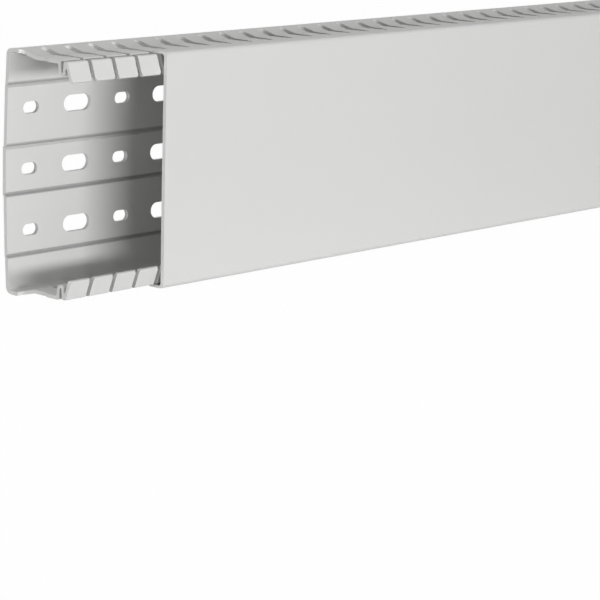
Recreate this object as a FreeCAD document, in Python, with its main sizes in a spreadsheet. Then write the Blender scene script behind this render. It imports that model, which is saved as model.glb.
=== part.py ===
import FreeCAD, Part
import math
import os
import Sketcher

# A slotted wiring duct of the 100 by 40 class, one metre long: an extruded PVC trough with
# slotted side walls, and the cover that snaps over it and slides along it.
# The origin is the middle of the trough's back, on the mounting plane Y = 0. X runs along the
# duct, the cover faces -Y, and the duct stands on the foot of one side wall, at the lowest Z.
# Each body is drawn from the trough's left end and its lower foot, then set in its place.

SIZES = {
    # Overall
    "duct_length": 1000.0,
    "duct_width": 100.0,
    "duct_depth": 42.0,
    "cover_length": 1000.0,
    "cover_setback": 50.0,
    # Back panel: a middle strip, two inner strips and two outer strips, parted by grooves
    "panel_wall": 1.8,
    "middle_strip_width": 20.0,
    "outer_groove_spacing": 70.0,
    "inner_step": 0.5,
    "inner_strip_rise": 0.7,
    "outer_step": 0.3,
    "outer_strip_rise": 0.7,
    "groove_width": 1.8,
    "groove_depth": 1.0,
    # Side walls: a foot at the back corner, a slope inwards, then the straight fingers
    "side_wall": 1.5,
    "foot_depth": 6.5,
    "foot_width": 2.0,
    "foot_rise": 0.5,
    "foot_slope": 9.0,
    "finger_inset": 2.2,
    # Fold that takes the cover's hook, and the leaning head in front of it
    "fold_wall": 1.3,
    "fold_back_run": 0.9,
    "fold_top_width": 0.8,
    "fold_front_run": 0.6,
    "fold_height": 5.0,
    "ridge_width": 2.2,
    "head_height": 7.8,
    "head_lean": 2.9,
    "bend_radius": 0.4,
    "corner_radius": 1.2,
    "edge_radius": 0.35,
    # Slots between the fingers
    "slot_pitch": 12.5,
    "slot_width": 2.0,
    "stem_slot_width": 4.0,
    "slot_root": 0.9,
    "stem_slot_end": 8.0,
    "head_corner_cut": 0.9,
    # Fixing holes in the back panel, short and long in turn, in three rows
    "hole_pitch": 25.0,
    "hole_row_spacing": 25.0,
    "first_hole": 12.5,
    "short_hole_length": 8.4,
    "short_hole_width": 4.8,
    "long_hole_length": 14.8,
    "long_hole_width": 6.8,
    # Cover
    "cover_wall": 1.7,
    "cover_lip_wall": 1.0,
    "cover_inset": 1.4,
    "cover_hook_height": 0.9,
    "cover_hook_width": 1.0,
    "cover_corner_radius": 2.2,
    "cover_clearance": 0.25,
}

doc = FreeCAD.newDocument("slotted_wiring_duct")


def fill_sheet():
    """Write each driving dimension into a named cell of the sheet."""
    sheet = doc.addObject("Spreadsheet::Sheet", "dims")
    for row, (name, value) in enumerate(SIZES.items(), start=1):
        sheet.set("A%d" % row, name)
        sheet.set("B%d" % row, repr(value))
        sheet.setAlias("B%d" % row, name)
    doc.recompute()
    return sheet


dims = fill_sheet()


def size(name):
    """The value of a named cell, in millimetres."""
    return float(dims.get(name))


def unit(start, end):
    """Direction from one point to the next."""
    across = end[0] - start[0]
    up = end[1] - start[1]
    reach = math.hypot(across, up)
    return across / reach, up / reach


def crossing(point_a, along_a, point_b, along_b):
    """Where two lines, each a point and a direction, cross."""
    turn = along_a[0] * along_b[1] - along_a[1] * along_b[0]
    gap = (point_b[0] - point_a[0], point_b[1] - point_a[1])
    run = (gap[0] * along_b[1] - gap[1] * along_b[0]) / turn
    return point_a[0] + run * along_a[0], point_a[1] + run * along_a[1]


def inner_side(path, walls):
    """Corners of a wall's inner face: each run of the outer face moved in by its own wall."""
    runs = []
    for start, end, wall in zip(path, path[1:], walls):
        along = unit(start, end)
        shift = (-along[1] * wall, along[0] * wall)
        runs.append(((start[0] + shift[0], start[1] + shift[1]), along,
                     (end[0] + shift[0], end[1] + shift[1])))
    corners = [runs[0][0]]
    for before, after in zip(runs, runs[1:]):
        corners.append(crossing(before[0], before[1], after[0], after[1]))
    corners.append(runs[-1][2])
    return corners


def rounded_outline(corners):
    """Straight edges and tangent arcs of a closed outline, from corners and their radii."""
    ends = []
    count = len(corners)
    for index, (across, up, radius) in enumerate(corners):
        before = corners[index - 1]
        after = corners[(index + 1) % count]
        back = unit((across, up), before)
        onward = unit((across, up), after)
        opening = math.acos(max(-1.0, min(1.0, back[0] * onward[0] + back[1] * onward[1])))
        if radius == 0.0 or math.pi - opening < 0.02:
            ends.append(((across, up), None, (across, up)))
            continue
        reach = radius / math.tan(opening / 2.0)
        middle = unit((0.0, 0.0), (back[0] + onward[0], back[1] + onward[1]))
        centre_reach = radius / math.sin(opening / 2.0)
        top_reach = centre_reach - radius
        ends.append(((across + back[0] * reach, up + back[1] * reach),
                     (across + middle[0] * top_reach, up + middle[1] * top_reach),
                     (across + onward[0] * reach, up + onward[1] * reach)))
    edges = []
    for index, (arc_start, arc_middle, arc_end) in enumerate(ends):
        next_start = ends[(index + 1) % count][0]
        if arc_middle is not None:
            edges.append(Part.Arc(flat(arc_start), flat(arc_middle), flat(arc_end)))
        if math.hypot(next_start[0] - arc_end[0], next_start[1] - arc_end[1]) > 1e-6:
            edges.append(Part.LineSegment(flat(arc_end), flat(next_start)))
    return edges


def flat(point):
    """A sketch point."""
    return FreeCAD.Vector(point[0], point[1], 0.0)


def new_body(name):
    """A body whose label names its file."""
    body = doc.addObject("PartDesign::Body", name)
    body.Label = name
    return body


def new_sketch(body, name, role):
    """A sketch on one of the body's origin planes."""
    sketch = body.newObject("Sketcher::SketchObject", name)
    plane = [item for item in body.Origin.OriginFeatures if item.Role == role][0]
    sketch.AttachmentSupport = [(plane, "")]
    sketch.MapMode = "FlatFace"
    return sketch


def extrude_section(body, name, corners, length_name):
    """Extrude a section, given by its corners in (Y, Z), along the duct."""
    sketch = new_sketch(body, name + "_section", "YZ_Plane")
    sketch.addGeometry(rounded_outline(corners), False)
    pad = body.newObject("PartDesign::Pad", name)
    pad.Profile = sketch
    pad.setExpression("Length", "dims." + length_name)
    pad.Refine = False
    doc.recompute()
    return pad


def places():
    """Depths and heights that follow from the sizes, from the cover's face backwards."""
    tip = size("duct_depth") - size("cover_wall") - size("cover_clearance")
    ridge_end = tip - size("head_lean")
    ridge_start = ridge_end - size("ridge_width")
    fold_top_end = ridge_start - size("fold_front_run")
    fold_top_start = fold_top_end - size("fold_top_width")
    return {
        "tip": tip,
        "ridge_end": ridge_end,
        "ridge_start": ridge_start,
        "fold_top_end": fold_top_end,
        "fold_top_start": fold_top_start,
        "fold_start": fold_top_start - size("fold_back_run"),
        "foot_end": size("foot_depth") + size("foot_width") + size("foot_slope"),
        "fold_top": size("finger_inset") + size("fold_height"),
        "ridge": size("cover_inset") + size("cover_lip_wall") + size("cover_clearance"),
    }


def side_path():
    """Outer face of the lower half, as (depth from the back plane, height), and its walls."""
    middle = size("duct_width") / 2.0
    strip_edge = middle - size("middle_strip_width") / 2.0
    groove_edge = middle - size("outer_groove_spacing") / 2.0
    half_groove = size("groove_width") / 2.0
    inner_start = size("inner_step")
    inner_end = inner_start + size("inner_strip_rise")
    outer_start = inner_end + size("outer_step")
    corner = outer_start + size("outer_strip_rise")
    inset = size("finger_inset")
    at = places()
    path = [
        (0.0, middle),
        (0.0, strip_edge + half_groove / 2.0),
        (inner_start, strip_edge - half_groove / 2.0),
        (inner_end, groove_edge + half_groove / 2.0),
        (outer_start, groove_edge - half_groove / 2.0),
        (corner, size("foot_rise")),
        (size("foot_depth"), 0.0),
        (size("foot_depth") + size("foot_width"), 0.0),
        (at["foot_end"], inset),
        (at["fold_start"], inset),
        (at["fold_top_start"], at["fold_top"]),
        (at["fold_top_end"], at["fold_top"]),
        (at["ridge_start"], at["ridge"]),
        (at["ridge_end"], at["ridge"]),
        (at["tip"], at["ridge"] + size("head_height")),
    ]
    panel = size("panel_wall")
    side = size("side_wall")
    fold = size("fold_wall")
    walls = [panel] * 5 + [side] * 4 + [fold] * 4 + [side]
    return path, walls


def base_half():
    """Corners of the lower half of the trough, from the middle of the back round to the
    middle of the inside, as (depth, height, radius)."""
    path, walls = side_path()
    inner = inner_side(path, walls)
    bend = size("bend_radius")
    edge = size("edge_radius")
    corner = size("corner_radius")
    fold = size("fold_wall")
    outer_radii = [0.0, 0.0, 0.0, 0.0, 0.0, corner + size("side_wall"), corner, corner, corner,
                   2.0 * bend, bend, bend, bend, 2.0 * bend, edge]
    outer_corners = [(d, up, radius) for (d, up), radius in zip(path, outer_radii)][1:]
    # The grooves on the inside lie at the two steps of the panel, and replace its corners.
    groove_corners = []
    for step in (4, 2):
        low = inner[step]
        high = inner[step - 1]
        middle_up = (low[1] + high[1]) / 2.0
        half = size("groove_width") / 2.0
        bottom = min(low[0], high[0]) - size("groove_depth")
        groove_corners.append((low[0], middle_up - half, bend))
        groove_corners.append((bottom, middle_up, bend))
        groove_corners.append((high[0], middle_up + half, bend))
    # Past the ridge the inner face of the head meets the fold's front leg in one valley.
    valley = crossing(inner[11], unit(inner[11], inner[12]), inner[14],
                      unit(inner[14], inner[13]))
    inner_corners = [(inner[14][0], inner[14][1], edge), (valley[0], valley[1], bend)]
    for index, radius in ((11, bend + fold), (10, bend + fold), (9, bend), (8, corner),
                          (7, corner), (5, corner)):
        inner_corners.append((inner[index][0], inner[index][1], radius))
    return outer_corners + inner_corners + groove_corners


def mirrored_outline(half):
    """Whole section in (Y, Z) from its lower half, which is mirrored about mid height."""
    top = size("duct_width")
    lower = [(-d, up, radius) for d, up, radius in half]
    upper = [(-d, top - up, radius) for d, up, radius in reversed(half)]
    return lower + upper


def slot_outline():
    """Corners of one slot seen from above: wide between the fingers, narrow between the heads."""
    stem = size("stem_slot_width") / 2.0
    head = size("slot_width") / 2.0
    at = places()
    start = size("foot_depth") + size("foot_width") + size("slot_root")
    stem_end = at["fold_start"] - size("stem_slot_end")
    tip = at["tip"]
    cut = size("head_corner_cut")
    flare_start = tip - cut * size("head_lean") / size("head_height")
    past = size("duct_depth") + cut
    round_end = stem / 2.0
    right = [
        (stem, start, round_end),
        (stem, stem_end, 0.0),
        (head, stem_end + stem - head, 0.0),
        (head, flare_start, 0.0),
        (head + cut, tip, 0.0),
        (head + cut, past, 0.0),
    ]
    left = [(-across, d, radius) for across, d, radius in reversed(right)]
    return [(across, -d, radius) for across, d, radius in right + left]


def oblong(sketch, across, up, length_name, width_name):
    """An oblong hole lying along the duct, tied to its two named sizes."""
    half = size(length_name) / 2.0 - size(width_name) / 2.0
    radius = size(width_name) / 2.0
    right = FreeCAD.Vector(across + half, up, 0.0)
    left = FreeCAD.Vector(across - half, up, 0.0)
    lift = FreeCAD.Vector(0.0, radius, 0.0)
    out = FreeCAD.Vector(radius, 0.0, 0.0)
    first = sketch.addGeometry(Part.Arc(right - lift, right + out, right + lift), False)
    upper = sketch.addGeometry(Part.LineSegment(right + lift, left + lift), False)
    second = sketch.addGeometry(Part.Arc(left + lift, left - out, left - lift), False)
    lower = sketch.addGeometry(Part.LineSegment(left - lift, right - lift), False)
    sketch.addConstraint([
        Sketcher.Constraint("Tangent", first, 2, upper, 1),
        Sketcher.Constraint("Tangent", upper, 2, second, 1),
        Sketcher.Constraint("Tangent", second, 2, lower, 1),
        Sketcher.Constraint("Tangent", lower, 2, first, 1),
        Sketcher.Constraint("Horizontal", upper),
        Sketcher.Constraint("DistanceX", -1, 1, second, 3, left.x),
        Sketcher.Constraint("DistanceY", -1, 1, second, 3, left.y),
    ])
    width = sketch.addConstraint(Sketcher.Constraint("Radius", first, radius))
    sketch.setExpression("Constraints[%d]" % width, "dims.%s / 2" % width_name)
    reach = sketch.addConstraint(Sketcher.Constraint("DistanceX", second, 3, first, 3, 2.0 * half))
    sketch.setExpression("Constraints[%d]" % reach, "dims.%s - dims.%s" % (length_name, width_name))


def pattern(body, feature, name, count, length_expression):
    """Repeat a cut along the duct at equal steps."""
    axis = [item for item in body.Origin.OriginFeatures if item.Role == "X_Axis"][0]
    row = body.newObject("PartDesign::LinearPattern", name)
    row.Originals = [feature]
    row.Direction = (axis, [""])
    row.setExpression("Length", length_expression)
    row.Occurrences = count
    row.Refine = False
    body.Tip = row
    doc.recompute()
    return row


def place(body, along):
    """Set a body along X, with mid height at Z = 0."""
    body.setExpression("Placement.Base.x", along)
    body.setExpression("Placement.Base.z", "-dims.duct_width / 2")
    doc.recompute()


def cut_through(body, sketch, name, before):
    """Cut a sketch through the body, on the side where the body lies."""
    pocket = body.newObject("PartDesign::Pocket", name)
    pocket.Profile = sketch
    pocket.Type = "ThroughAll"
    pocket.Reversed = True
    pocket.Refine = False
    doc.recompute()
    if pocket.Shape.Volume > before - 1.0:
        raise RuntimeError("%s cuts nothing" % name)
    return pocket


def make_base():
    """The trough: section, three rows of holes, and slots along both side walls."""
    body = new_body("slotted_base")
    trough = extrude_section(body, "trough", mirrored_outline(base_half()), "duct_length")
    holes = new_sketch(body, "hole_pair", "XZ_Plane")
    pitch = size("hole_pitch")
    for row in (-1, 0, 1):
        up = size("duct_width") / 2.0 + row * size("hole_row_spacing")
        oblong(holes, size("first_hole"), up, "short_hole_length", "short_hole_width")
        oblong(holes, size("first_hole") + pitch, up, "long_hole_length", "long_hole_width")
    first_holes = cut_through(body, holes, "first_holes", trough.Shape.Volume)
    pair_count = int(size("duct_length") / (2.0 * pitch))
    hole_rows = pattern(body, first_holes, "hole_rows", pair_count,
                        "dims.hole_pitch * 2 * %d" % (pair_count - 1))
    slot = new_sketch(body, "slot", "XY_Plane")
    slot.addGeometry(rounded_outline(slot_outline()), False)
    first_slot = cut_through(body, slot, "first_slot", hole_rows.Shape.Volume)
    slot_count = int(round(size("duct_length") / size("slot_pitch"))) + 1
    pattern(body, first_slot, "slot_row", slot_count,
            "dims.slot_pitch * %d" % (slot_count - 1))
    place(body, "-dims.duct_length / 2")
    return body


def cover_half():
    """Corners of the lower half of the cover, from the middle of its face round its lip and
    hook to the middle of its inside, as (depth, height, radius)."""
    at = places()
    face = size("duct_depth")
    inside = face - size("cover_wall")
    low = size("cover_inset")
    lip_top = low + size("cover_lip_wall")
    hook_top = lip_top + size("cover_hook_height")
    slope = size("cover_hook_height") * size("fold_front_run") / (at["fold_top"] - at["ridge"])
    hook_foot = at["ridge_start"] - size("cover_clearance")
    hook_front = hook_foot - slope
    lip_end = hook_front - size("cover_hook_width")
    edge = size("edge_radius")
    return [
        (face, low, size("cover_corner_radius")),
        (lip_end, low, edge),
        (lip_end, hook_top, edge),
        (hook_front, hook_top, edge),
        (hook_foot, lip_top, edge),
        (inside, lip_top, size("cover_corner_radius") - size("cover_lip_wall")),
    ]


def make_cover():
    """The cover: a flat face with two hooked lips, set back along the trough."""
    body = new_body("snap_cover")
    extrude_section(body, "cover_profile", mirrored_outline(cover_half()), "cover_length")
    place(body, "-dims.duct_length / 2 + dims.cover_setback")
    return body


def write_parts(bodies):
    """Check every object of the document, then write each body to its own file."""
    for item in doc.Objects:
        if "Invalid" in item.State or "Error" in item.State:
            raise RuntimeError("%s is %s" % (item.Name, item.State))
    os.makedirs("parts", exist_ok=True)
    for body in bodies:
        shape = body.Shape
        if shape.isNull() or not shape.isValid() or len(shape.Solids) != 1:
            raise RuntimeError("%s is not one valid solid" % body.Label)
        shape.exportStep("parts/%s.step" % body.Label)
        print(body.Label, "volume", round(shape.Volume), "faces", len(shape.Faces), shape.BoundBox)


pieces = [make_base(), make_cover()]
write_parts(pieces)
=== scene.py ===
import bmesh
import bpy
import numpy as np
from mathutils import Euler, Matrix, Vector


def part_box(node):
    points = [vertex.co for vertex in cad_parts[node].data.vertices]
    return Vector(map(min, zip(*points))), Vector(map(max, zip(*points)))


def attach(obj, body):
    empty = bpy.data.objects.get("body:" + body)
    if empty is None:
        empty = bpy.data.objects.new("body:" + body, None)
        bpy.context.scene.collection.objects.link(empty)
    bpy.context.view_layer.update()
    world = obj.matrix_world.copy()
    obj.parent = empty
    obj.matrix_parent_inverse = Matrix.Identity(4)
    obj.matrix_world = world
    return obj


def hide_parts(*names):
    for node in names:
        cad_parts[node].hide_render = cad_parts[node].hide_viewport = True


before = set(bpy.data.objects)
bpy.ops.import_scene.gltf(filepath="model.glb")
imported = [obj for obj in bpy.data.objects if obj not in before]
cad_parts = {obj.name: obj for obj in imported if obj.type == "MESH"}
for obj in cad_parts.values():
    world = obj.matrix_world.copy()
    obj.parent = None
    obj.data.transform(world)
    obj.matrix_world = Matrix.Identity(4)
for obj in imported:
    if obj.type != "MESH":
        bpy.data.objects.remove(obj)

bl_info = {
    "name": "Slotted Wiring Duct",
    "version": (1, 0, 0),
    "blender": (4, 5, 0),
    "location": "View3D > Sidebar > Wiring Duct",
    "description": "A length of slotted wiring duct with its cover, in light grey rigid PVC",
    "category": "Object",
}

TROUGH_LOW, TROUGH_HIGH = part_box("slotted_base")
COVER_LOW, COVER_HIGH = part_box("snap_cover")
MM = 0.001

# Steps of the drawn curves, and how the skins are welded and shaded
BEND_STEPS = 6
SMALL_BEND_STEPS = 3
SLIGHT_BEND_STEPS = 2
ROOT_STEPS = 6
HOLE_END_STEPS = 12
DISH_STEPS = 16
COVER_STATIONS = 41
WELD_DISTANCE = 0.002 * MM
SHARP_ANGLE = 0.6

# Numbers of the corners along the lower half of the trough's section, from the middle of the
# panel to the tip of the head. The panel steps between each of its two numbers and the one before.
PANEL_STEPS = (2, 4)
PANEL_END = 5
FOOT_BACK = 6
FOOT_FRONT = 7
SLOPE_END = 8
FOLD_START = 9
FOLD_BACK = 10
FOLD_FRONT = 11
RIDGE_BACK = 12
RIDGE_FRONT = 13
TIP = 14

# Back panel, as depth from the back plane and height from the foot
PANEL_WALL = 1.8 * MM
MIDDLE_STRIP = 20.0 * MM
OUTER_GROOVES = 70.0 * MM
INNER_STEP = 0.5 * MM
INNER_RISE = 0.7 * MM
OUTER_STEP = 0.3 * MM
OUTER_RISE = 0.7 * MM
GROOVE_WIDTH = 1.8 * MM
GROOVE_DEPTH = 1.0 * MM
MIDDLE_CELL = 7.0 * MM
OUTER_CELL = 6.5 * MM

# Side wall, fold and head
SIDE_WALL = 1.5 * MM
FOOT_DEPTH = 6.5 * MM
FOOT_WIDTH = 2.0 * MM
FOOT_RISE = 0.5 * MM
FOOT_SLOPE = 9.0 * MM
FINGER_INSET = 2.2 * MM
FOLD_WALL = 1.3 * MM
FOLD_BACK_RUN = 0.9 * MM
FOLD_TOP_WIDTH = 0.8 * MM
FOLD_FRONT_RUN = 0.6 * MM
FOLD_HEIGHT = 5.0 * MM
RIDGE_WIDTH = 2.2 * MM
HEAD_HEIGHT = 7.8 * MM
HEAD_LEAN = 2.9 * MM
BEND_RADIUS = 0.4 * MM
CORNER_RADIUS = 1.2 * MM
EDGE_RADIUS = 0.35 * MM
SLOT_ROOT = 0.9 * MM
STEM_SLOT_END = 8.0 * MM
HEAD_CORNER_CUT = 0.9 * MM
WEB_MARGIN = 0.4 * MM

# Cover
COVER_WALL = 1.7 * MM
COVER_LIP_WALL = 1.0 * MM
COVER_INSET = 1.4 * MM
COVER_HOOK_HEIGHT = 0.9 * MM
COVER_HOOK_WIDTH = 1.0 * MM
COVER_CORNER_RADIUS = 2.2 * MM
COVER_CLEARANCE = 0.25 * MM

# Patterns in the plastic: how often each one repeats in a metre along X, Y and Z
FINE_LINES = (1.5, 900.0, 900.0)
BROAD_LINES = (0.7, 160.0, 160.0)
CLOUDS = (9.0, 22.0, 22.0)
SCUFFS = (60.0, 420.0, 420.0)
SAW_MARKS = (40.0, 2600.0, 300.0)
SKIN_SCALE = 1400.0

# Where the patterns show, and how much they change colour, roughness and relief
RUB_RANGE = (0.62, 0.74)
CUT_RANGE = (0.9, 0.99)
LINE_SHADE = 0.35
CLOUD_ROUGHNESS = 0.08
CUT_ROUGHNESS = 0.22
RUB_ROUGHNESS = 0.12
SAW_RELIEF = 2.0
RELIEF_STRENGTH = 0.6
RELIEF_DEPTH = 0.02 * MM
PLASTIC_IOR = 1.52
PALE_CUT = (0.86, 0.86, 0.85, 1.0)
# Colour multiplied in as painted shade along the panel's grooves
GROOVE_SHADE_TINT = (0.30, 0.30, 0.31, 1.0)
# How much of each pattern shows; the grooves' share is painted shade
PUNCHED_GRAIN_AND_SHADE = {
    "Draw Lines": 1.0, "Skin": 0.5, "Clouds": 0.5, "Rubs": 1.0, "Painted Groove Shade": 0.6, "Cut Pallor": 0.15,
}
SMOOTH_GRAIN_AND_SHADE = {
    "Draw Lines": 0.5, "Skin": 0.4, "Clouds": 0.4, "Rubs": 0.6, "Painted Groove Shade": 0.0, "Cut Pallor": 0.15,
}

# Painted shade along the panel's grooves
PANEL_FRONT = 3.6 * MM
GROOVE_SHADE_EDGE = 0.6 * MM
GROOVE_LIFT = 0.25 * MM
GROOVE_REACH = 1.3 * MM
FULL_GROOVE_SHADE = 0.25 * GROOVE_REACH

# Studio. Each lamp has a place, the point it faces, its width and its height
FLOOR_REACH = 30.0
FLOOR_GREY = (0.82, 0.82, 0.82, 1.0)
WHITE = (1.0, 1.0, 1.0, 1.0)
LAMPS = {
    "front": ((-0.64, -1.7, 0.07), (-0.45, 0.0, 0.0), 1.35, 0.22),
    "side": ((-2.2, -0.2, 0.0), (-0.5, 0.0, 0.0), 0.3, 0.09),
    "top": ((-0.7, -0.1, 1.1), (-0.55, 0.0, 0.0), 0.7, 0.5),
    "back": ((0.3, 1.9, 0.3), (0.0, 0.0, 0.0), 1.4, 0.3),
}
CAMERA_PLACE = (-1.14113, -0.75174, 0.16197)
CAMERA_TURN = (77.8175, -1.5754, -47.1416)
SENSOR_WIDTH = 36.0


def unit(run):
    """A run scaled to length one."""
    return run / np.linalg.norm(run)


def crossing(point, along, other, other_along):
    """Where two lines, each a point and a direction, cross."""
    turn = along[0] * other_along[1] - along[1] * other_along[0]
    gap = other - point
    return point + along * (gap[0] * other_along[1] - gap[1] * other_along[0]) / turn


def moved_in(path, walls):
    """Corners of a wall's inner face: every run of the outer face is moved in by its own
    wall, square to itself, and neighbouring runs meet where their lines cross."""
    along = np.diff(path, axis=0)
    along = along / np.linalg.norm(along, axis=1)[:, None]
    shift = np.stack([-along[:, 1], along[:, 0]], axis=1) * walls[:, None]
    start = path[:-1] + shift
    gap = np.diff(start, axis=0)
    turn = along[:-1, 0] * along[1:, 1] - along[:-1, 1] * along[1:, 0]
    reach = (gap[:, 0] * along[1:, 1] - gap[:, 1] * along[1:, 0]) / turn
    corners = start[:-1] + along[:-1] * reach[:, None]
    return np.vstack([start[:1], corners, (path[-1] + shift[-1])[None]])


def bend(corner, before, after, radius, steps):
    """A corner rounded by an arc: the two points where the arc touches its runs are turned
    into each other about the arc's centre, in equal steps."""
    back = unit(before - corner)
    onward = unit(after - corner)
    half = np.arccos(np.clip(back @ onward, -1.0, 1.0)) / 2.0
    centre = corner + unit(back + onward) * radius / np.sin(half)
    first = corner + back * radius / np.tan(half) - centre
    last = corner + onward * radius / np.tan(half) - centre
    turn = np.pi - 2.0 * half
    share = np.linspace(0.0, 1.0, steps + 1)[:, None]
    swing = np.sin((1.0 - share) * turn) * first + np.sin(share * turn) * last
    return centre + swing / np.sin(turn)


def bend_at(path, number, radius, steps):
    """A numbered corner of a path, rounded between its two neighbours."""
    return bend(path[number], path[number - 1], path[number + 1], radius, steps)


class Shell:
    """Points and faces of one closed skin, gathered as whole arrays."""

    def __init__(self):
        self.points = []
        self.faces = []
        self.count = 0

    def add(self, points):
        """Take an array of points and give back their numbers in the same arrangement."""
        flat = points.reshape(-1, 3)
        numbers = np.arange(self.count, self.count + len(flat)).reshape(points.shape[:-1])
        self.points.append(flat)
        self.count += len(flat)
        return numbers

    def skin(self, *corners):
        """One face for each place in the arrays, which hold its corners in turn."""
        self.faces.extend(np.stack([np.ravel(corner) for corner in corners], axis=1).tolist())

    def build(self, name):
        """Weld the skin, turn its faces outwards and make it an object. An open edge is an
        error."""
        mesh = bpy.data.meshes.new(name)
        mesh.from_pydata(np.concatenate(self.points), [], self.faces)
        work = bmesh.new()
        work.from_mesh(mesh)
        loose = [vert for vert in work.verts if not vert.link_faces]
        bmesh.ops.delete(work, geom=loose, context="VERTS")
        bmesh.ops.remove_doubles(work, verts=work.verts, dist=WELD_DISTANCE)
        bmesh.ops.recalc_face_normals(work, faces=work.faces)
        open_edges = sum(len(edge.link_faces) != 2 for edge in work.edges)
        work.to_mesh(mesh)
        work.free()
        if open_edges:
            raise RuntimeError("%s has %d open edges" % (name, open_edges))
        mesh.shade_smooth()
        mesh.set_sharp_from_angle(angle=SHARP_ANGLE)
        piece = bpy.data.objects.new(name, mesh)
        bpy.context.scene.collection.objects.link(piece)
        shading = piece.modifiers.new("flat faces stay flat", "WEIGHTED_NORMAL")
        shading.keep_sharp = True
        return piece


def side_places(sizes):
    """Depths and heights that follow from the sizes, from the cover's face backwards."""
    tip = sizes.duct_depth - COVER_WALL - COVER_CLEARANCE
    ridge_end = tip - HEAD_LEAN
    ridge_start = ridge_end - RIDGE_WIDTH
    fold_top_end = ridge_start - FOLD_FRONT_RUN
    fold_top_start = fold_top_end - FOLD_TOP_WIDTH
    return {
        "tip": tip,
        "ridge_end": ridge_end,
        "ridge_start": ridge_start,
        "fold_top_end": fold_top_end,
        "fold_top_start": fold_top_start,
        "fold_start": fold_top_start - FOLD_BACK_RUN,
        "foot_end": FOOT_DEPTH + FOOT_WIDTH + FOOT_SLOPE,
        "fold_top": FINGER_INSET + FOLD_HEIGHT,
        "ridge": COVER_INSET + COVER_LIP_WALL + COVER_CLEARANCE,
    }


def trough_corners(sizes):
    """Corners of the lower half of the trough's outer and inner face, as (depth, height)."""
    at = side_places(sizes)
    middle = sizes.duct_width / 2.0
    strip_edge = middle - MIDDLE_STRIP / 2.0
    groove_edge = middle - OUTER_GROOVES / 2.0
    quarter = GROOVE_WIDTH / 4.0
    inner_end = INNER_STEP + INNER_RISE
    outer_start = inner_end + OUTER_STEP
    outer = np.array([
        (0.0, middle),
        (0.0, strip_edge + quarter),
        (INNER_STEP, strip_edge - quarter),
        (inner_end, groove_edge + quarter),
        (outer_start, groove_edge - quarter),
        (outer_start + OUTER_RISE, FOOT_RISE),
        (FOOT_DEPTH, 0.0),
        (FOOT_DEPTH + FOOT_WIDTH, 0.0),
        (at["foot_end"], FINGER_INSET),
        (at["fold_start"], FINGER_INSET),
        (at["fold_top_start"], at["fold_top"]),
        (at["fold_top_end"], at["fold_top"]),
        (at["ridge_start"], at["ridge"]),
        (at["ridge_end"], at["ridge"]),
        (at["tip"], at["ridge"] + HEAD_HEIGHT),
    ])
    walls = np.array([PANEL_WALL] * PANEL_END + [SIDE_WALL] * (FOLD_START - PANEL_END)
                     + [FOLD_WALL] * (RIDGE_FRONT - FOLD_START) + [SIDE_WALL])
    return outer, moved_in(outer, walls)


def groove_line(inner):
    """Inner face of the panel from its middle down to the foot: at each step of the panel a
    V groove lies between the two strips, its three corners rounded."""
    line = [inner[0]]
    for step in PANEL_STEPS:
        low = inner[step]
        high = inner[step - 1]
        level = (low[1] + high[1]) / 2.0
        floor = min(low[0], high[0]) - GROOVE_DEPTH
        line.append(np.array([high[0], level + GROOVE_WIDTH / 2.0]))
        line.append(np.array([floor, level]))
        line.append(np.array([low[0], level - GROOVE_WIDTH / 2.0]))
    line.append(inner[PANEL_END])
    rounded = [line[0][None]]
    for before, corner, after in zip(line, line[1:], line[2:]):
        rounded.append(bend(corner, before, after, BEND_RADIUS, SMALL_BEND_STEPS))
    return np.vstack(rounded)


def panel_rows(sizes, outer, inner):
    """Matching points of the outer and inner face from the middle cell down round the foot to
    the web below the slots. On the panel both faces are read at the same heights, at the foot
    corner the two arcs are matched step by step, and along the wall both are read at the same
    depths. Also gives the number of the row where the outer hole cell begins."""
    middle = sizes.duct_width / 2.0
    groove = groove_line(inner)
    outer_corner = bend_at(outer, PANEL_END, CORNER_RADIUS + SIDE_WALL, BEND_STEPS)
    inner_corner = bend(inner[PANEL_END], inner[PANEL_END - 1], inner[FOOT_FRONT],
                        CORNER_RADIUS, BEND_STEPS)
    low_row = middle - sizes.hole_row_spacing
    cell_top = low_row + OUTER_CELL
    cell_lines = [middle - MIDDLE_CELL, cell_top, low_row - OUTER_CELL]
    heights = np.concatenate([groove[:, 1], outer[1:PANEL_END, 1], cell_lines])
    above_foot = max(outer_corner[0, 1], inner_corner[0, 1])
    heights = np.unique(heights[(heights <= cell_lines[0]) & (heights > above_foot)])[::-1]
    outer_panel = np.interp(heights, outer[PANEL_END::-1, 1], outer[PANEL_END::-1, 0])
    inner_panel = np.interp(heights, groove[::-1, 1], groove[::-1, 0])
    toes = np.vstack([
        bend_at(outer, FOOT_BACK, CORNER_RADIUS, SLIGHT_BEND_STEPS),
        bend_at(outer, FOOT_FRONT, CORNER_RADIUS, SLIGHT_BEND_STEPS),
        on_slope(np.array([outer[FOOT_FRONT, 0] + SLOT_ROOT - WEB_MARGIN]), outer),
    ])
    outer_rows = np.vstack([np.stack([outer_panel, heights], axis=1), outer_corner, toes])
    inner_rows = np.vstack([
        np.stack([inner_panel, heights], axis=1),
        inner_corner,
        on_wall(toes[:, 0], inner),
    ])
    return outer_rows, inner_rows, int(np.argmin(np.abs(heights - cell_top)))


def on_slope(depth, outer):
    """Points of the wall's outer face at the given depths, on the lines between its corners."""
    corners = outer[FOOT_FRONT:FOLD_START + 1]
    return np.stack([depth, np.interp(depth, corners[:, 0], corners[:, 1])], axis=-1)


def on_wall(depth, inner):
    """Points of the wall's inner face at the given depths, on the lines between its corners."""
    corners = inner[[PANEL_END, FOOT_FRONT, SLOPE_END, FOLD_START]]
    return np.stack([depth, np.interp(depth, corners[:, 0], corners[:, 1])], axis=-1)


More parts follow.
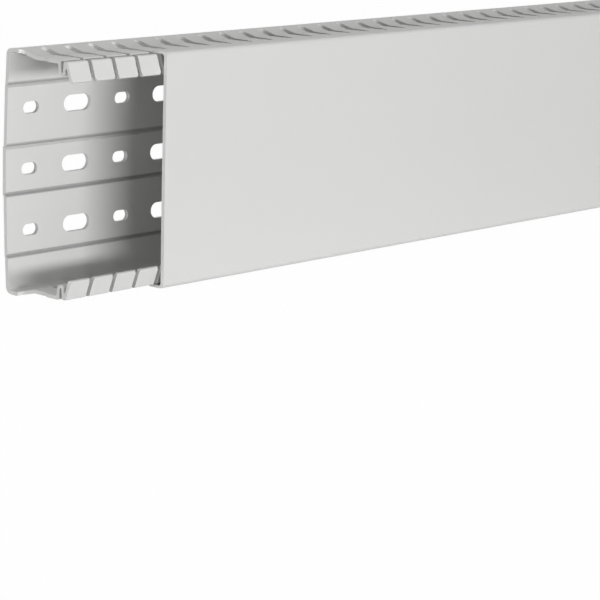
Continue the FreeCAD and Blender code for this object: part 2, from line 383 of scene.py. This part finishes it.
def finger_rows(sizes, outer, inner):
    """Matching points of a finger's outer and inner face, from the slot's root to the tip.
    Each bend of one face is matched with the same bend of the other, and the ridge's two
    bends with the one valley inside them."""
    start = outer[FOOT_FRONT, 0] + SLOT_ROOT + sizes.stem_slot_width / 2.0
    narrowing = slot_narrowing(sizes)
    valley = crossing(inner[FOLD_FRONT], unit(inner[RIDGE_BACK] - inner[FOLD_FRONT]),
                      inner[TIP], unit(inner[RIDGE_FRONT] - inner[TIP]))
    flare = HEAD_CORNER_CUT / HEAD_HEIGHT
    wide = BEND_RADIUS + FOLD_WALL
    outer_rows = np.vstack([
        on_slope(np.array([start]), outer),
        bend_at(outer, SLOPE_END, CORNER_RADIUS, SLIGHT_BEND_STEPS),
        on_slope(narrowing, outer),
        bend_at(outer, FOLD_START, 2.0 * BEND_RADIUS, BEND_STEPS),
        bend_at(outer, FOLD_BACK, BEND_RADIUS, BEND_STEPS),
        bend_at(outer, FOLD_FRONT, BEND_RADIUS, BEND_STEPS),
        bend_at(outer, RIDGE_BACK, BEND_RADIUS, SMALL_BEND_STEPS),
        bend_at(outer, RIDGE_FRONT, 2.0 * BEND_RADIUS, SMALL_BEND_STEPS),
        (outer[TIP] + (outer[RIDGE_FRONT] - outer[TIP]) * flare)[None],
        bend(outer[TIP], outer[RIDGE_FRONT], inner[TIP], EDGE_RADIUS, SMALL_BEND_STEPS),
    ])
    inner_rows = np.vstack([
        on_wall(np.array([start]), inner),
        bend_at(inner, SLOPE_END, CORNER_RADIUS, SLIGHT_BEND_STEPS),
        on_wall(narrowing, inner),
        bend_at(inner, FOLD_START, BEND_RADIUS, BEND_STEPS),
        bend_at(inner, FOLD_BACK, wide, BEND_STEPS),
        bend(inner[FOLD_FRONT], inner[FOLD_BACK], valley, wide, BEND_STEPS),
        bend(valley, inner[FOLD_FRONT], inner[TIP], BEND_RADIUS, 2 * SMALL_BEND_STEPS + 1),
        (inner[TIP] + (valley - inner[TIP]) * flare)[None],
        bend(inner[TIP], valley, outer[TIP], EDGE_RADIUS, SMALL_BEND_STEPS),
    ])
    return outer_rows, inner_rows


def slot_narrowing(sizes):
    """The two depths between which the slot narrows from the stems' gap to the heads'."""
    stem_end = side_places(sizes)["fold_start"] - STEM_SLOT_END
    return np.array([stem_end, stem_end + (sizes.stem_slot_width - sizes.slot_width) / 2.0])


def half_slot(depth, sizes):
    """Half the slot's width at a depth: wide along the stems, narrow along the heads, and
    wider again where the head's corners are cut off."""
    at = side_places(sizes)
    stem = sizes.stem_slot_width / 2.0
    head = sizes.slot_width / 2.0
    flare_start = at["tip"] - HEAD_CORNER_CUT * HEAD_LEAN / HEAD_HEIGHT
    places = [*slot_narrowing(sizes), flare_start, at["tip"]]
    return np.interp(depth, places, [stem, head, head, head + HEAD_CORNER_CUT])


def set_out(along, section, sizes):
    """Points in the duct's own frame: along is X, a section point is (depth, height), and the
    first of the two new axes is the lower half and its mirror image above mid height."""
    depth, height = section[..., 0], section[..., 1]
    low = np.stack(np.broadcast_arrays(along, -depth, height - sizes.duct_width / 2.0), axis=-1)
    return np.stack([low, low * np.array([1.0, 1.0, -1.0])])


def hole_outline(length, width):
    """An oblong outline turned once to the left: two half circles, each from its lower or
    upper end to the other, and the middle of the flat run after each of them."""
    radius = width / 2.0
    flat = length / 2.0 - radius
    turn = np.linspace(-np.pi / 2.0, np.pi / 2.0, HOLE_END_STEPS + 1)
    right = np.stack([flat + radius * np.cos(turn), radius * np.sin(turn)], axis=1)
    top = np.array([[0.0, radius]])
    return np.vstack([right, top, -right, -top])


def trough_skin(sizes):
    """The trough as one closed skin. Panel and feet are the section carried along the duct in
    steps of one finger. The side walls end in the slots' round roots, and each finger is its
    own section of paired rows, as wide as the slots on both sides leave it. Each hole's
    outline is joined to the rectangle of panel round it."""
    shell = Shell()
    outer, inner = trough_corners(sizes)
    pitch = sizes.slot_pitch
    steps = int(round((TROUGH_HIGH.x - TROUGH_LOW.x) / pitch))
    stations = TROUGH_LOW.x + pitch * np.arange(steps + 1)

    # Panel and feet: rows run from the lower web over the panel to the upper web
    outer_rows, inner_rows, cell_row = panel_rows(sizes, outer, inner)
    section = np.stack([outer_rows, inner_rows])
    half = set_out(stations[None, None, :], section[:, :, None, :], sizes)
    rows = np.concatenate([half[0][:, ::-1], half[1]], axis=1)
    panel = shell.add(rows)
    count = len(outer_rows)
    cell_starts = np.array([count - 2 - cell_row, count - 1, count + cell_row])
    plain = np.setdiff1d(np.arange(2 * count - 1), cell_starts)
    shell.skin(panel[:, plain, :-1], panel[:, plain, 1:],
               panel[:, plain + 1, 1:], panel[:, plain + 1, :-1])
    ends = panel[:, :, [0, -1]]
    shell.skin(ends[0, :-1], ends[0, 1:], ends[1, 1:], ends[1, :-1])

    # Holes: short and long in turn along each of the three rows
    outline = np.stack([hole_outline(sizes.short_hole_length, sizes.short_hole_width),
                        hole_outline(sizes.long_hole_length, sizes.long_hole_width)])
    centres = np.arange(1, steps, 2)
    shape = outline[np.arange(len(centres)) % 2]
    middle_z = np.array([-1.0, 0.0, 1.0]) * sizes.hole_row_spacing
    hole_x = stations[centres][:, None] + shape[..., 0]
    hole_z = middle_z[:, None, None] + shape[..., 1]
    low = rows[:, cell_starts, 0]
    high = rows[:, cell_starts + 1, 0]
    slope = (high[..., 1] - low[..., 1]) / (high[..., 2] - low[..., 2])
    hole_y = low[..., 1, None, None] + slope[..., None, None] * (hole_z - low[..., 2, None, None])
    holes = shell.add(np.stack(np.broadcast_arrays(hole_x, hole_y, hole_z), axis=-1))
    following = np.roll(holes, -1, axis=-1)
    shell.skin(holes[0], following[0], following[1], holes[1])
    left, mid, right = centres - 1, centres, centres + 1
    lower, upper = panel[:, cell_starts], panel[:, cell_starts + 1]
    frame_points = [lower[..., right], upper[..., right], upper[..., mid],
                    upper[..., left], lower[..., left], lower[..., mid]]
    quarter = HOLE_END_STEPS // 4
    second = HOLE_END_STEPS + 2
    joints = [quarter, 3 * quarter, HOLE_END_STEPS + 1,
              second + quarter, second + 3 * quarter, second + HOLE_END_STEPS + 1]
    total = holes.shape[-1]
    for index, joint in enumerate(joints):
        next_joint = joints[(index + 1) % 6]
        run = np.arange(next_joint, joint - 1, -1) if next_joint > joint else \
            np.arange(next_joint + total, joint - 1, -1) % total
        rim = [holes[..., place] for place in run]
        shell.skin(frame_points[index], frame_points[(index + 1) % 6], *rim)

    # Round roots of the slots, and the web that joins them to the panel
    radius = sizes.stem_slot_width / 2.0
    root = outer[FOOT_FRONT, 0] + SLOT_ROOT
    turn = np.linspace(-np.pi / 2.0, np.pi / 2.0, ROOT_STEPS + 1)
    root_depth = root + radius * (1.0 - np.cos(turn))
    root_section = np.stack([
        on_slope(root_depth, outer),
        on_wall(root_depth, inner),
    ])
    root_x = stations[:, None] + radius * np.sin(turn)
    roots = shell.add(set_out(root_x[None], root_section[:, None], sizes))
    centre = ROOT_STEPS // 2
    web = np.stack([panel[:, 0], panel[:, -1]])
    second_half = [roots[:, :, :-1, step] for step in range(ROOT_STEPS, centre - 1, -1)]
    first_half = [roots[:, :, 1:, step] for step in range(centre, -1, -1)]
    shell.skin(web[:, :, :-1], web[:, :, 1:], *first_half, *second_half)
    shell.skin(web[:, 0][:, [0, -1]], web[:, 1][:, [0, -1]],
               roots[:, 1][:, [0, -1], centre], roots[:, 0][:, [0, -1], centre])
    wall = np.stack([roots[..., :-1], roots[..., 1:]])
    for part in (wall[:, :, :, 1:, :centre], wall[:, :, :, :-1, centre:]):
        shell.skin(part[0][:, 0], part[1][:, 0], part[1][:, 1], part[0][:, 1])

    # Fingers: two edges to each row, held apart by the slots
    finger_section = np.stack(finger_rows(sizes, outer, inner))
    gap = half_slot(finger_section[..., 0], sizes)
    left_x = stations[:-1][:, None] + gap[:, None]
    right_x = stations[1:][:, None] - gap[:, None]
    both = np.stack([left_x, right_x], axis=-1)
    finger_points = set_out(both, finger_section[:, None, :, None, :], sizes)
    fingers = shell.add(finger_points)
    shell.skin(fingers[..., :-1, 0], fingers[..., :-1, 1],
               fingers[..., 1:, 1], fingers[..., 1:, 0])
    shell.skin(fingers[:, 0][..., :-1, :], fingers[:, 0][..., 1:, :],
               fingers[:, 1][..., 1:, :], fingers[:, 1][..., :-1, :])
    tips = fingers[..., -1, :]
    shell.skin(tips[:, 0, :, 0], tips[:, 0, :, 1], tips[:, 1, :, 1], tips[:, 1, :, 0])
    return shell


def cover_outline(sizes):
    """Closed outline of the cover's section: the lower lip and hook with rounded corners,
    their mirror image above, and the face and its inside drawn in steps as a shallow dish,
    deepest by half its square of the distance from the middle."""
    at = side_places(sizes)
    face = sizes.duct_depth
    inside = face - COVER_WALL
    lip_top = COVER_INSET + COVER_LIP_WALL
    hook_top = lip_top + COVER_HOOK_HEIGHT
    slope = COVER_HOOK_HEIGHT * FOLD_FRONT_RUN / (at["fold_top"] - at["ridge"])
    hook_foot = at["ridge_start"] - COVER_CLEARANCE
    hook_front = hook_foot - slope
    lip_end = hook_front - COVER_HOOK_WIDTH
    middle = sizes.duct_width / 2.0
    corners = np.array([
        (face, middle),
        (face, COVER_INSET),
        (lip_end, COVER_INSET),
        (lip_end, hook_top),
        (hook_front, hook_top),
        (hook_foot, lip_top),
        (inside, lip_top),
        (inside, middle),
    ])
    radii = [COVER_CORNER_RADIUS] + [EDGE_RADIUS] * 4 + [COVER_CORNER_RADIUS - COVER_LIP_WALL]
    rounded = [bend(corners[index + 1], corners[index], corners[index + 2], radius, BEND_STEPS)
               for index, radius in enumerate(radii)]
    lower = np.vstack(rounded)
    upper = lower[::-1] * np.array([1.0, -1.0]) + np.array([0.0, sizes.duct_width])
    share = np.linspace(-1.0, 1.0, DISH_STEPS + 1)[1:-1]
    sink = sizes.cover_dish * (1.0 - share**2) ** 2
    inner_run = np.stack([inside - sink, middle + share * (middle - lower[-1, 1])], axis=1)
    outer_run = np.stack([face - sink, middle - share * (middle - lower[0, 1])], axis=1)
    return np.vstack([lower, inner_run, upper, outer_run])


def cover_skin(sizes):
    """The cover's outline carried along the duct, with its two sawn ends closed."""
    shell = Shell()
    outline = cover_outline(sizes)
    stations = np.linspace(COVER_LOW.x, COVER_HIGH.x, COVER_STATIONS)
    depth, height = outline[:, 0], outline[:, 1] - sizes.duct_width / 2.0
    points = np.stack(np.broadcast_arrays(stations[:, None], -depth, height), axis=-1)
    rings = shell.add(points)
    following = np.roll(rings, -1, axis=1)
    shell.skin(rings[:-1], following[:-1], following[1:], rings[1:])
    shell.faces.append(rings[0].tolist())
    shell.faces.append(rings[-1].tolist())
    return shell


def socket_in(tree, name, kind, value):
    """Add a named input to a node group, with its default."""
    tree.interface.new_socket(name, in_out="INPUT", socket_type=kind).default_value = value


def math_node(tree, operation, first, second):
    """A math node whose inputs are links or plain numbers."""
    node = tree.nodes.new("ShaderNodeMath")
    node.operation = operation
    for place, value in enumerate((first, second)):
        if isinstance(value, (int, float)):
            node.inputs[place].default_value = value
        else:
            tree.links.new(value, node.inputs[place])
    return node.outputs[0]


def noise_node(tree, vector, scale=1.0, detail=2.0, roughness=0.5):
    """A noise texture read at a vector."""
    node = tree.nodes.new("ShaderNodeTexNoise")
    node.inputs["Scale"].default_value = scale
    node.inputs["Detail"].default_value = detail
    node.inputs["Roughness"].default_value = roughness
    tree.links.new(vector, node.inputs["Vector"])
    return node.outputs["Fac"]


def ramp_node(tree, value, low, high):
    """A value stretched from the range low to high onto 0 to 1, with soft ends."""
    node = tree.nodes.new("ShaderNodeMapRange")
    node.interpolation_type = "SMOOTHSTEP"
    node.inputs["From Min"].default_value = low
    node.inputs["From Max"].default_value = high
    tree.links.new(value, node.inputs["Value"])
    return node.outputs["Result"]


def stretched(tree, vector, factors):
    """A vector scaled by its own factor on each axis."""
    node = tree.nodes.new("ShaderNodeVectorMath")
    node.operation = "MULTIPLY"
    node.inputs[1].default_value = factors
    tree.links.new(vector, node.inputs[0])
    return node.outputs["Vector"]


def groove_shade_band(tree, spot):
    """Mask of the painted shade: 1 along the panel's four grooves, near their heights above and below
    the middle, and behind the front of the panel. It fades out over the lip above each of them."""
    axes = tree.nodes.new("ShaderNodeSeparateXYZ")
    tree.links.new(spot, axes.inputs[0])
    on_panel = ramp_node(tree, axes.outputs["Y"], -PANEL_FRONT - GROOVE_SHADE_EDGE, -PANEL_FRONT)
    bands = None
    for side in (-1.0, 1.0):
        for spacing in (MIDDLE_STRIP, OUTER_GROOVES):
            height = side * spacing / 2.0 + GROOVE_LIFT
            off = math_node(tree, "SUBTRACT", axes.outputs["Z"], height)
            off = math_node(tree, "ABSOLUTE", off, 0.0)
            near = ramp_node(tree, off, GROOVE_REACH, FULL_GROOVE_SHADE)
            bands = near if bands is None else math_node(tree, "MAXIMUM", bands, near)
    return math_node(tree, "MULTIPLY", bands, on_panel)


def extruded_plastic_group():
    """What an extruded and punched plastic profile shows: fine draw lines along its length, a
    pebbled skin, cloudy patches, rub marks, painted shade along the panel's grooves, and paler
    faces where it was sawn or punched."""
    tree = bpy.data.node_groups.new("extruded_plastic", "ShaderNodeTree")
    for name in PUNCHED_GRAIN_AND_SHADE:
        socket_in(tree, name, "NodeSocketFloat", 1.0)
    socket_in(tree, "Color", "NodeSocketColor", (0.6, 0.6, 0.6, 1.0))
    socket_in(tree, "Shade Color", "NodeSocketColor", (0.5, 0.5, 0.5, 1.0))
    socket_in(tree, "Roughness", "NodeSocketFloat", 0.4)
    tree.interface.new_socket("Color", in_out="OUTPUT", socket_type="NodeSocketColor")
    tree.interface.new_socket("Roughness", in_out="OUTPUT", socket_type="NodeSocketFloat")
    tree.interface.new_socket("Height", in_out="OUTPUT", socket_type="NodeSocketFloat")
    given = tree.nodes.new("NodeGroupInput").outputs
    result = tree.nodes.new("NodeGroupOutput").inputs
    place = tree.nodes.new("ShaderNodeTexCoord")
    spot = place.outputs["Object"]

    lines = noise_node(tree, stretched(tree, spot, FINE_LINES), detail=3.0, roughness=0.6)
    broad_lines = noise_node(tree, stretched(tree, spot, BROAD_LINES))
    skin = noise_node(tree, spot, scale=SKIN_SCALE)
    clouds = noise_node(tree, stretched(tree, spot, CLOUDS), detail=3.0, roughness=0.55)
    scuffs = noise_node(tree, stretched(tree, spot, SCUFFS), detail=4.0, roughness=0.7)
    rubs = ramp_node(tree, scuffs, *RUB_RANGE)

    facing = tree.nodes.new("ShaderNodeSeparateXYZ")
    tree.links.new(place.outputs["Normal"], facing.inputs[0])
    along = math_node(tree, "ABSOLUTE", facing.outputs["X"], 0.0)
    cut = ramp_node(tree, along, *CUT_RANGE)
    saw = noise_node(tree, stretched(tree, spot, SAW_MARKS))

    shade = math_node(tree, "MULTIPLY", clouds, given["Clouds"])
    line_shade = math_node(tree, "SUBTRACT", broad_lines, 0.5)
    line_shade = math_node(tree, "MULTIPLY", line_shade, LINE_SHADE)
    line_shade = math_node(tree, "MULTIPLY", line_shade, given["Draw Lines"])
    shade = math_node(tree, "ADD", shade, line_shade)
    body = tree.nodes.new("ShaderNodeMix")
    body.data_type = "RGBA"
    tree.links.new(shade, body.inputs["Factor"])
    tree.links.new(given["Color"], body.inputs["A"])
    tree.links.new(given["Shade Color"], body.inputs["B"])
    pale = tree.nodes.new("ShaderNodeMix")
    pale.data_type = "RGBA"
    pallor = math_node(tree, "MULTIPLY", cut, given["Cut Pallor"])
    tree.links.new(pallor, pale.inputs["Factor"])
    tree.links.new(body.outputs["Result"], pale.inputs["A"])
    pale.inputs["B"].default_value = PALE_CUT
    # Painted shade: the colour is darkened along the panel's grooves, but not on the cut faces
    groove_shaded = tree.nodes.new("ShaderNodeMix")
    groove_shaded.data_type = "RGBA"
    groove_shaded.blend_type = "MULTIPLY"
    painted_shade = math_node(tree, "MULTIPLY", groove_shade_band(tree, spot), given["Painted Groove Shade"])
    painted_shade = math_node(tree, "MULTIPLY", painted_shade, math_node(tree, "SUBTRACT", 1.0, cut))
    tree.links.new(painted_shade, groove_shaded.inputs["Factor"])
    tree.links.new(pale.outputs["Result"], groove_shaded.inputs["A"])
    groove_shaded.inputs["B"].default_value = GROOVE_SHADE_TINT
    tree.links.new(groove_shaded.outputs["Result"], result["Color"])

    rough = given["Roughness"]
    shown_rubs = math_node(tree, "MULTIPLY", rubs, given["Rubs"])
    for mark, amount in ((clouds, CLOUD_ROUGHNESS), (cut, CUT_ROUGHNESS), (shown_rubs, RUB_ROUGHNESS)):
        rough = math_node(tree, "ADD", rough, math_node(tree, "MULTIPLY", mark, amount))
    tree.links.new(rough, result["Roughness"])

    relief = math_node(tree, "MULTIPLY", lines, given["Draw Lines"])
    shown_saw = math_node(tree, "MULTIPLY", saw, cut)
    for pattern, amount in ((broad_lines, given["Draw Lines"]), (skin, given["Skin"]),
                            (shown_saw, SAW_RELIEF)):
        relief = math_node(tree, "ADD", relief, math_node(tree, "MULTIPLY", pattern, amount))
    tree.links.new(relief, result["Height"])
    return tree


def plastic_material(name, group, finish, amounts):
    """Rigid grey plastic: the shared effects feed colour, roughness and bump of one shader."""
    material = bpy.data.materials.new(name)
    material.use_nodes = True
    tree = material.node_tree
    shader = tree.nodes["Principled BSDF"]
    shader.inputs["IOR"].default_value = PLASTIC_IOR
    effects = tree.nodes.new("ShaderNodeGroup")
    effects.node_tree = group
    effects.inputs["Color"].default_value = (*finish.plastic, 1.0)
    effects.inputs["Shade Color"].default_value = (*finish.shade, 1.0)
    effects.inputs["Roughness"].default_value = finish.roughness
    for title, amount in amounts.items():
        effects.inputs[title].default_value = amount
    relief = tree.nodes.new("ShaderNodeBump")
    relief.inputs["Strength"].default_value = RELIEF_STRENGTH
    relief.inputs["Distance"].default_value = RELIEF_DEPTH
    tree.links.new(effects.outputs["Color"], shader.inputs["Base Color"])
    tree.links.new(effects.outputs["Roughness"], shader.inputs["Roughness"])
    tree.links.new(effects.outputs["Height"], relief.inputs["Height"])
    tree.links.new(relief.outputs["Normal"], shader.inputs["Normal"])
    return material


def seen_directly(tree):
    """1 for the rays that show the background: from the camera, in gloss and through glass."""
    path = tree.nodes.new("ShaderNodeLightPath")
    gloss = math_node(tree, "MAXIMUM", path.outputs["Is Camera Ray"], path.outputs["Is Glossy Ray"])
    return math_node(tree, "MAXIMUM", gloss, path.outputs["Is Transmission Ray"])


def floor_material(glow):
    """A white floor that keeps the shadow: seen directly it is mostly its own white, and the
    rest of its brightness comes from the light that falls on it."""
    material = bpy.data.materials.new("studio_floor")
    material.use_nodes = True
    tree = material.node_tree
    tree.nodes.clear()
    matt = tree.nodes.new("ShaderNodeBsdfDiffuse")
    matt.inputs["Color"].default_value = FLOOR_GREY
    white = tree.nodes.new("ShaderNodeEmission")
    white.inputs["Strength"].default_value = 1.0
    blend = tree.nodes.new("ShaderNodeMixShader")
    tree.links.new(math_node(tree, "MULTIPLY", seen_directly(tree), glow), blend.inputs["Fac"])
    tree.links.new(matt.outputs[0], blend.inputs[1])
    tree.links.new(white.outputs[0], blend.inputs[2])
    output = tree.nodes.new("ShaderNodeOutputMaterial")
    tree.links.new(blend.outputs[0], output.inputs["Surface"])
    return material


def studio_world(level):
    """White behind the object, and an even light of the given level from all round."""
    world = bpy.data.worlds.new("studio_world")
    world.use_nodes = True
    tree = world.node_tree
    background = tree.nodes["Background"]
    background.inputs["Color"].default_value = WHITE
    extra = math_node(tree, "MULTIPLY", seen_directly(tree), 1.0 - level)
    tree.links.new(math_node(tree, "ADD", extra, level), background.inputs["Strength"])
    bpy.context.scene.world = world


def soft_lamp(name, place, aim, width, height, watts):
    """A rectangular lamp at a place, turned to a point."""
    light = bpy.data.lights.new(name, "AREA")
    light.shape = "RECTANGLE"
    light.size = width
    light.size_y = height
    light.energy = watts
    lamp = bpy.data.objects.new(name, light)
    lamp.location = place
    lamp.rotation_euler = (Vector(aim) - Vector(place)).to_track_quat("-Z", "Y").to_euler()
    bpy.context.scene.collection.objects.link(lamp)


def length(name, description, default):
    """A length that the sidebar shows."""
    return bpy.props.FloatProperty(name=name, description=description, default=default,
                                   unit="LENGTH", precision=4)


def tone(name, description, default):
    """A colour that the sidebar shows."""
    return bpy.props.FloatVectorProperty(name=name, description=description, default=default,
                                         subtype="COLOR", size=3, min=0.0, max=1.0)


class DuctSizes(bpy.types.PropertyGroup):
    """Sizes of the duct that a user would change."""

    duct_width: length("Width", "Height over both side walls", TROUGH_HIGH.z - TROUGH_LOW.z)
    duct_depth: length("Depth", "From the back to the cover's face", -COVER_LOW.y)
    slot_pitch: length("Slot pitch", "Spacing of the fingers", 12.5 * MM)
    slot_width: length("Head gap", "Gap between two heads", 2.0 * MM)
    stem_slot_width: length("Slot width", "Gap between two fingers", 4.0 * MM)
    hole_row_spacing: length("Row spacing", "Between two rows of holes", 25.0 * MM)
    short_hole_length: length("Short hole", "Length of the short holes", 8.4 * MM)
    short_hole_width: length("Short hole width", "Width of the short holes", 4.8 * MM)
    long_hole_length: length("Long hole", "Length of the long holes", 14.8 * MM)
    long_hole_width: length("Long hole width", "Width of the long holes", 6.8 * MM)
    cover_dish: length("Cover dish", "How far the middle of the cover's face sinks", 0.12 * MM)


class DuctFinish(bpy.types.PropertyGroup):
    """Colours and gloss of the plastic."""

    plastic: tone("Plastic", "Colour of the plastic", (0.66, 0.66, 0.652))
    shade: tone("Shade", "Colour of its cloudy patches", (0.63, 0.63, 0.622))
    roughness: bpy.props.FloatProperty(
        name="Roughness", description="Roughness of the moulded skin", default=0.46,
        min=0.0, max=1.0, subtype="FACTOR")


class DuctStudio(bpy.types.PropertyGroup):
    """Camera and light."""

    lens: bpy.props.FloatProperty(
        name="Lens", description="Focal length in millimetres", default=148.3)
    front_power: bpy.props.FloatProperty(
        name="Front lamp", description="Power of the large front lamp", default=21.2, unit="POWER")
    side_power: bpy.props.FloatProperty(
        name="Side lamp", description="Power of the lamp beyond the open end", default=9.0,
        unit="POWER")
    top_power: bpy.props.FloatProperty(
        name="Top lamp", description="Power of the lamp overhead", default=3.8, unit="POWER")
    back_power: bpy.props.FloatProperty(
        name="Back lamp", description="Power of the weak lamp behind", default=8.0, unit="POWER")
    surround: bpy.props.FloatProperty(
        name="Surround", description="Level of the even light", default=0.15,
        min=0.0, max=1.0, subtype="FACTOR")
    floor_glow: bpy.props.FloatProperty(
        name="Floor white", description="Share of the floor's white that no shadow reaches",
        default=0.985, min=0.0, max=1.0, subtype="FACTOR")


class DUCT_OT_trough(bpy.types.Operator):
    """Make the slotted trough with its fingers, heads, grooves and holes"""

    bl_idname = "duct.trough"
    bl_label = "Slotted trough"

    def execute(self, context):
        trough = trough_skin(context.scene.duct_sizes).build("slotted_trough")
        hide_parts("slotted_base")
        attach(trough, "trough")
        return {"FINISHED"}


class DUCT_OT_cover(bpy.types.Operator):
    """Make the cover with its two hooked lips"""

    bl_idname = "duct.cover"
    bl_label = "Cover"

    def execute(self, context):
        cover = cover_skin(context.scene.duct_sizes).build("hooked_cover")
        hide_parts("snap_cover")
        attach(cover, "cover")
        return {"FINISHED"}


class DUCT_OT_finish(bpy.types.Operator):
    """Give both pieces their grey plastic"""

    bl_idname = "duct.finish"
    bl_label = "Plastic finish"

    def execute(self, context):
        finish = context.scene.duct_finish
        group = extruded_plastic_group()
        punched = plastic_material("punched_pvc", group, finish, PUNCHED_GRAIN_AND_SHADE)
        smooth = plastic_material("smooth_pvc", group, finish, SMOOTH_GRAIN_AND_SHADE)
        for piece, material in (("slotted_trough", punched), ("slotted_base", punched),
                                ("hooked_cover", smooth), ("snap_cover", smooth)):
            materials = bpy.data.objects[piece].data.materials
            materials.clear()
            materials.append(material)
        return {"FINISHED"}


class DUCT_OT_studio(bpy.types.Operator):
    """Set up the floor, the light and the camera"""

    bl_idname = "duct.studio"
    bl_label = "Studio"

    def execute(self, context):
        studio = context.scene.duct_studio
        corners = ((-1.0, -1.0), (1.0, -1.0), (1.0, 1.0), (-1.0, 1.0))
        spots = [(x * FLOOR_REACH, y * FLOOR_REACH, TROUGH_LOW.z) for x, y in corners]
        floor_mesh = bpy.data.meshes.new("studio_floor")
        floor_mesh.from_pydata(spots, [], [range(len(spots))])
        floor_mesh.materials.append(floor_material(studio.floor_glow))
        floor = bpy.data.objects.new("studio_floor", floor_mesh)
        context.scene.collection.objects.link(floor)
        studio_world(studio.surround)
        powers = (studio.front_power, studio.side_power, studio.top_power, studio.back_power)
        for (name, layout), watts in zip(LAMPS.items(), powers):
            soft_lamp(name + "_lamp", *layout, watts)
        view = bpy.data.cameras.new("photo_camera")
        view.lens = studio.lens
        view.sensor_width = SENSOR_WIDTH
        camera = bpy.data.objects.new("photo_camera", view)
        camera.location = CAMERA_PLACE
        camera.rotation_euler = Euler(np.radians(CAMERA_TURN))
        context.scene.collection.objects.link(camera)
        context.scene.camera = camera
        context.scene.view_settings.view_transform = "Standard"
        return {"FINISHED"}


class DUCT_PT_panel(bpy.types.Panel):
    """Sizes, finish and studio of the wiring duct"""

    bl_label = "Wiring Duct"
    bl_space_type = "VIEW_3D"
    bl_region_type = "UI"
    bl_category = "Wiring Duct"

    def draw(self, context):
        scene = context.scene
        for settings in (scene.duct_sizes, scene.duct_finish, scene.duct_studio):
            box = self.layout.box()
            for name in settings.bl_rna.properties.keys():
                if name not in ("rna_type", "name"):
                    box.prop(settings, name)
        for step in STEPS:
            self.layout.operator(step.bl_idname)


STEPS = (DUCT_OT_trough, DUCT_OT_cover, DUCT_OT_finish, DUCT_OT_studio)
CLASSES = (DuctSizes, DuctFinish, DuctStudio, *STEPS, DUCT_PT_panel)


def register():
    """Add the classes and their settings to Blender."""
    for item in CLASSES:
        bpy.utils.register_class(item)
    bpy.types.Scene.duct_sizes = bpy.props.PointerProperty(type=DuctSizes)
    bpy.types.Scene.duct_finish = bpy.props.PointerProperty(type=DuctFinish)
    bpy.types.Scene.duct_studio = bpy.props.PointerProperty(type=DuctStudio)


def unregister():
    """Take the settings and classes away again."""
    del bpy.types.Scene.duct_studio
    del bpy.types.Scene.duct_finish
    del bpy.types.Scene.duct_sizes
    for item in reversed(CLASSES):
        bpy.utils.unregister_class(item)


def main():
    """Build the duct and its studio."""
    register()
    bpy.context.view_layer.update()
    bpy.ops.duct.trough()
    bpy.ops.duct.cover()
    bpy.ops.duct.finish()
    bpy.ops.duct.studio()


if __name__ == "__main__":
    main()
